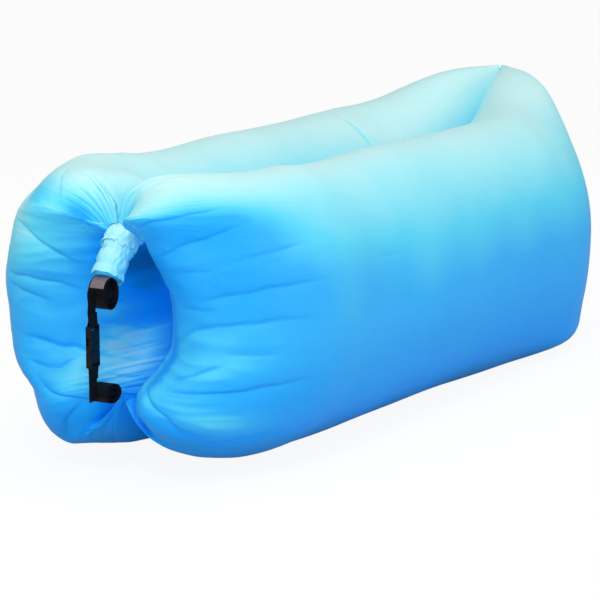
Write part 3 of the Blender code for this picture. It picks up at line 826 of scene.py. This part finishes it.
# A flat strip of pale plastic is sewn into the mouth's hem, and the mouth is rolled up round it. It
# stiffens the roll and lies in its middle, out of sight.
strip = plain_finish("stiffener_strip", 0.45, (0.62, 0.61, 0.58, 1))
grain(strip, 300, 0.2, 0.0003)
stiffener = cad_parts["mouth_stiffener"]
stiffener.data.materials.clear()
stiffener.data.materials.append(strip)

# Black nylon webbing is wound on itself at each end of the roll and sewn down, and the straps come out of the
# windings. It is ribbed, its edges are a little rounded, and its black varies a little in soft spots.
upper_fold = Vector((-0.2722, 0, 0.364))
lower_fold = Vector((-0.2702, 0, 0.18))
winding_width = 0.036
winding_thickness = 0.0021
winding_steps = 40
webbing = plain_finish("black_webbing", 0.55, specular=0.12)
nodes = webbing.node_tree.nodes
links = webbing.node_tree.links
tape_lengths = nodes.new("ShaderNodeUVMap")
tape_lengths.uv_map = "cloth_metres"
rib = nodes.new("ShaderNodeGroup")
rib.node_tree = weave
rib.inputs["Threads"].default_value = 4200
links.new(tape_lengths.outputs["UV"], rib.inputs["Cloth"])
rib_bump = nodes.new("ShaderNodeBump")
rib_bump.inputs["Strength"].default_value = 0.7
rib_bump.inputs["Distance"].default_value = 0.0004
links.new(rib.outputs["Height"], rib_bump.inputs["Height"])
links.new(rib_bump.outputs["Normal"], nodes["Principled BSDF"].inputs["Normal"])


def two_tones(material, scale, dark, light, reach=(0, 1)):
    """Colour a material in soft spots between two tones."""
    nodes = material.node_tree.nodes
    links = material.node_tree.links
    spots = nodes.new("ShaderNodeTexNoise")
    spots.inputs["Scale"].default_value = scale
    tones = nodes.new("ShaderNodeValToRGB")
    for element, place, colour in zip(tones.color_ramp.elements, reach, (dark, light)):
        element.position = place
        element.color = colour
    links.new(spots.outputs["Fac"], tones.inputs["Fac"])
    links.new(tones.outputs["Color"], nodes["Principled BSDF"].inputs["Base Color"])


two_tones(webbing, 60, (0.002, 0.002, 0.003, 1), (0.007, 0.007, 0.009, 1), (0.35, 0.75))


def tape(name, line, width, thickness, across):
    """A length of webbing along a line, its width lying along across, with slightly rounded selvedges."""
    points = [Vector(p) for p in line]
    ring_shape = ((-1, -0.6), (-0.97, -1), (-0.6, -1), (0, -1), (0.6, -1), (0.97, -1), (1, -0.6),
                  (1, 0.6), (0.97, 1), (0.6, 1), (0, 1), (-0.6, 1), (-0.97, 1), (-1, 0.6))
    wide = Vector(across).normalized()
    form = []
    for index, point in enumerate(points):
        ahead = points[min(index + 1, len(points) - 1)] - points[max(index - 1, 0)]
        deep = ahead.normalized().cross(wide).normalized()
        form.append([tuple(point + wide * (a * width / 2) + deep * (b * thickness / 2))
                     for a, b in ring_shape])
    item = cloth_skin(name, np.array(form), cap_end=False)
    count = len(ring_shape)
    last = (len(points) - 1) * count
    close_ends(item, (reversed(range(count)), range(last, last + count)))
    item.data.materials.append(webbing)
    return item


def winding(name, centre, half_width, half_height, layers, node):
    """Webbing wound on itself about a centre. The layers inside the outermost one are a little smaller."""
    line = []
    steps = int(layers * winding_steps)
    for step in range(steps + 1):
        left = (steps - step) / winding_steps
        angle = pi - 2 * pi * left
        share = 1 - 0.20 * max(left - 0.7, 0)
        wobble = 1 + 0.02 * noise.noise(Vector((cos(angle) * 1.5, sin(angle) * 1.5, left)))
        aside = half_width * share * wobble * cos(angle)
        line.append(centre + Vector((aside, 0, half_height * share * wobble * sin(angle))))
    item = tape(name, line, winding_width, winding_thickness, (0, 1, 0))
    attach(item, "lounger")
    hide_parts(node)


winding("upper_end_winding", upper_fold, 0.0229, 0.0279, 3.4, "upper_end_webbing")
winding("lower_end_winding", lower_fold, 0.0249, 0.0169, 3.2, "lower_end_webbing")

# The core of each winding is the hard end of the rolled mouth, wrapped in the same webbing. Over the upper
# winding lies a folded-back strip of webbing coloured shiny grey-brown, a painted highlight where light
# catches the winding.
core_profile = ((-0.0165, 0.0), (-0.0165, 0.75), (-0.0155, 0.95), (-0.0140, 1.0), (0.0140, 1.0),
                (0.0155, 0.95), (0.0165, 0.75), (0.0165, 0.0))
core_columns = 28
for name, centre, half_width, half_height in (("upper_end_core", upper_fold, 0.0085, 0.0110),
                                              ("lower_end_core", lower_fold, 0.0090, 0.0050)):
    form = []
    for y, share in core_profile:
        ring = []
        for k in range(core_columns):
            phi = 2 * pi * k / core_columns
            lump = 1 + 0.06 * noise.noise(Vector((cos(phi) * 2, sin(phi) * 2, centre.z * 20)))
            aside = half_width * share * lump * cos(phi)
            ring.append((centre.x + aside, y, centre.z + half_height * share * lump * sin(phi)))
        form.append(ring)
    end_core = cloth_skin(name, np.array(form), cap_end=False)
    end_core.data.materials.append(webbing)
    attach(end_core, "lounger")
# Painted highlight: the grey-brown tones stand in for light reflecting off the black webbing.
highlight_tape = plain_finish("painted_highlight_tape", 0.35)
two_tones(highlight_tape, 90, srgb(92, 82, 86), srgb(150, 136, 138))
fold_half_width = 0.0246
fold_half_height = 0.0296
fold_start = 58
fold_run = 96
fold_steps = 24
fold_line = []
for step in range(fold_steps + 1):
    angle = radians(fold_start + fold_run * step / fold_steps)
    swell = 0.0004 * noise.noise(Vector((step * 0.35, 4, 0)))
    aside = (fold_half_width + swell) * cos(angle)
    fold_line.append(upper_fold + Vector((aside, 0, (fold_half_height + swell) * sin(angle))))
highlight_fold = tape("upper_end_highlight_fold", fold_line, 0.029, 0.0018, (0, 1, 0))
highlight_fold.data.materials.clear()
highlight_fold.data.materials.append(highlight_tape)
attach(highlight_fold, "lounger")

# The closing strap is 25 mm webbing. Its upper length comes down from the upper winding, goes round the bar
# of the buckle's socket and is sewn back on itself behind.
strap_reach = 0.309
webbing_width = 0.025
webbing_thickness = 0.0016
upper_strap_start = 0.376
upper_bar = 0.3105
lower_bar = 0.2372
sewn_start = 0.012
sewn_end = 0.024
strap_ripple = 0.0006
leg = 0.00095
sewn_gap = 0.0007
bar_wrap_depth = 0.0034
bar_wrap_height = 0.0032
strap_steps = 12


def round_bar(bar, past):
    """A strap's end, round a bar and sewn back on itself. past is 1 if it goes over the bar, -1 if under."""
    line = []
    for k in range(strap_steps + 1):
        angle = pi * k / strap_steps
        line.append((-strap_reach, bar_wrap_depth * cos(angle), bar + past * bar_wrap_height * sin(angle)))
    return line + [(-strap_reach, -leg - sewn_gap, bar - past * back) for back in (sewn_start, sewn_end)]


upper_line = []
for k in range(strap_steps + 1):
    height = upper_strap_start - k * (upper_strap_start - upper_bar - sewn_start) / strap_steps
    upper_line.append((-strap_reach, leg + strap_ripple * sin(k * 0.9), height))
upper_line += round_bar(upper_bar, -1)
upper_strap = tape("upper_strap_webbing", upper_line, webbing_width, webbing_thickness, (1, 0, 0))
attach(upper_strap, "lounger")
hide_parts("upper_strap")

# The strap's lower length is sewn to the lower winding, hangs slack and crumples when the plug slides down.
# Its upper end goes round the plug's bar, is sewn back on itself and moves with the plug.
lower_strap_start = 0.172
lower_strap_end = 0.2262
lower_line = []
for k in range(strap_steps + 1):
    height = lower_strap_start + k * (lower_strap_end - lower_strap_start) / strap_steps
    lower_line.append((-strap_reach, leg, height))
lower_strap = tape("lower_strap_webbing", lower_line, webbing_width, webbing_thickness, (1, 0, 0))
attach(lower_strap, "lounger")
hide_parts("lower_strap")
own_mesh(lower_strap)
loop_line = [(-strap_reach, leg + 0.0003, lower_bar - sewn_start + sewn_start * k / 3) for k in range(3)]
loop_line += round_bar(lower_bar, 1)
lower_loop = tape("lower_strap_loop", loop_line, webbing_width, webbing_thickness, (1, 0, 0))
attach(lower_loop, "plug")

# The side-release buckle is moulded of black plastic with a fine spark-eroded grain. Its socket hangs on the
# upper strap. Its plug sits on the lower one and has two prongs, which are squeezed to let go of the socket.
plastic = plain_finish("moulded_black_plastic", 0.32, specular=0.2)
grain(plastic, 1400, 0.12, 0.0002)
two_tones(plastic, 1400, (0.002, 0.002, 0.003, 1), (0.006, 0.006, 0.008, 1))
for node in ("buckle_socket", "buckle_plug", "buckle_front_prong", "buckle_rear_prong"):
    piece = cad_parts[node]
    piece.data.materials.clear()
    piece.data.materials.append(plastic)

# Two bindings cover raw edges. One of the same cloth as the tubes is sewn upright over the seam at the head,
# and a strip of clear film covers the seam in the valley between the tubes.
binding_cloth = lounger_cloth("binding_tape", 0.0, 0.55)
binding_half_width = 0.0158
binding_half_depth = 0.0028
binding_waver = 0.0012
binding_steps = 60
binding_profile = ((-1, -1), (-0.6, -0.9), (0, -0.86), (0.6, -0.9), (1, -1), (1.0, 0.2), (0.8, 0.8),
                   (0.35, 1), (0, 1.04), (-0.35, 1), (-0.8, 0.8), (-1.0, 0.2))
low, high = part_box("head_seam_binding")
binding_x = (low.x + high.x) / 2 + mouth_to_middle
form = []
for k in range(binding_steps + 1):
    y = binding_waver * noise.noise(Vector((0, 0, k * 0.2)))
    z = low.z + (high.z - low.z) * k / binding_steps
    form.append([(binding_x + b * binding_half_depth, y + a * binding_half_width, z)
                 for a, b in binding_profile])
head_binding = cloth_skin("head_seam_tape", np.array(form), cap_end=False)
head_binding.data.materials.append(binding_cloth)
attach(head_binding, "lounger")
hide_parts("head_seam_binding")
seat_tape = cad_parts["seat_seam_tape"]
seat_tape.data.materials.clear()
seat_tape.data.materials.append(film)

# The studio is a wide floor of white paper that keeps a soft shadow, with even light from all round.
# The camera stands where the photograph was taken from.
floor_reach = 30
floor_drop = 0.0005
corners = [(x * floor_reach, y * floor_reach, -floor_drop) for x, y in ((-1, -1), (1, -1), (1, 1), (-1, 1))]
ground = bpy.data.meshes.new("studio_floor")
ground.from_pydata(corners, [], [(0, 1, 2, 3)])
floor = bpy.data.objects.new("studio_floor", ground)
bpy.context.scene.collection.objects.link(floor)
paper = plain_finish("white_paper", 0.9)
nodes = paper.node_tree.nodes
links = paper.node_tree.links
glow = nodes.new("ShaderNodeEmission")
glow.inputs["Color"].default_value = (1, 1, 1, 1)
glow.inputs["Strength"].default_value = 1.06
path = nodes.new("ShaderNodeLightPath")
seen = nodes.new("ShaderNodeMath")
seen.operation = "MULTIPLY"
seen.inputs[1].default_value = 0.86
links.new(path.outputs["Is Camera Ray"], seen.inputs[0])
mix = nodes.new("ShaderNodeMixShader")
links.new(seen.outputs[0], mix.inputs[0])
links.new(nodes["Principled BSDF"].outputs[0], mix.inputs[1])
links.new(glow.outputs[0], mix.inputs[2])
links.new(mix.outputs[0], nodes["Material Output"].inputs["Surface"])
ground.materials.append(paper)

# The camera sees a white background, and the lounger is lit by a dimmer one.
sky = bpy.data.worlds.new("studio_world")
sky.use_nodes = True
nodes = sky.node_tree.nodes
links = sky.node_tree.links
even = nodes["Background"]
even.inputs["Color"].default_value = (1, 1, 1, 1)
even.inputs["Strength"].default_value = 0.44
white = nodes.new("ShaderNodeBackground")
white.inputs["Color"].default_value = (1, 1, 1, 1)
white.inputs["Strength"].default_value = 1.0
path = nodes.new("ShaderNodeLightPath")
mix = nodes.new("ShaderNodeMixShader")
links.new(path.outputs["Is Camera Ray"], mix.inputs[0])
links.new(even.outputs[0], mix.inputs[1])
links.new(white.outputs[0], mix.inputs[2])
links.new(mix.outputs[0], nodes["World Output"].inputs["Surface"])
bpy.context.scene.world = sky


def lamp(name, place, aim, size, watts):
    """A round lamp at a place, turned to a point."""
    light = bpy.data.lights.new(name, "AREA")
    light.shape = "DISK"
    light.size = size
    light.energy = watts
    item = bpy.data.objects.new(name, light)
    item.location = place
    item.rotation_euler = (Vector(aim) - Vector(place)).to_track_quat("-Z", "Y").to_euler()
    bpy.context.scene.collection.objects.link(item)


lamp("top_light", (-0.4, -0.6, 3.4), (0, 0, 0.3), 2.2, 19)
lamp("side_fill", (1.0, -3.6, 1.4), (0.2, 0, 0.25), 2.4, 25)
lamp("mouth_fill", (-3.5, -1.2, 2.9), (-0.6, 0, 0.25), 1.2, 60)
lamp("recess_fill", (-2.6, -1.1, 0.5), (-0.85, 0.05, 0.28), 0.5, 4.5)

azimuth = radians(-61.3)
elevation = radians(11.54)
camera_distance = 5.0375
aim = Vector((-0.1061, 0, 0.2201))
back = Vector((sin(azimuth) * cos(elevation), -cos(azimuth) * cos(elevation), sin(elevation)))
lens = bpy.data.cameras.new("photo_camera")
lens.sensor_width = 36
lens.lens = 146.2
lens.clip_end = 100
camera = bpy.data.objects.new("photo_camera", lens)
camera.location = aim + back * camera_distance
camera.rotation_euler = back.to_track_quat("Z", "Y").to_euler()
bpy.context.scene.collection.objects.link(camera)
bpy.context.scene.camera = camera
bpy.context.scene.view_settings.view_transform = "Standard"
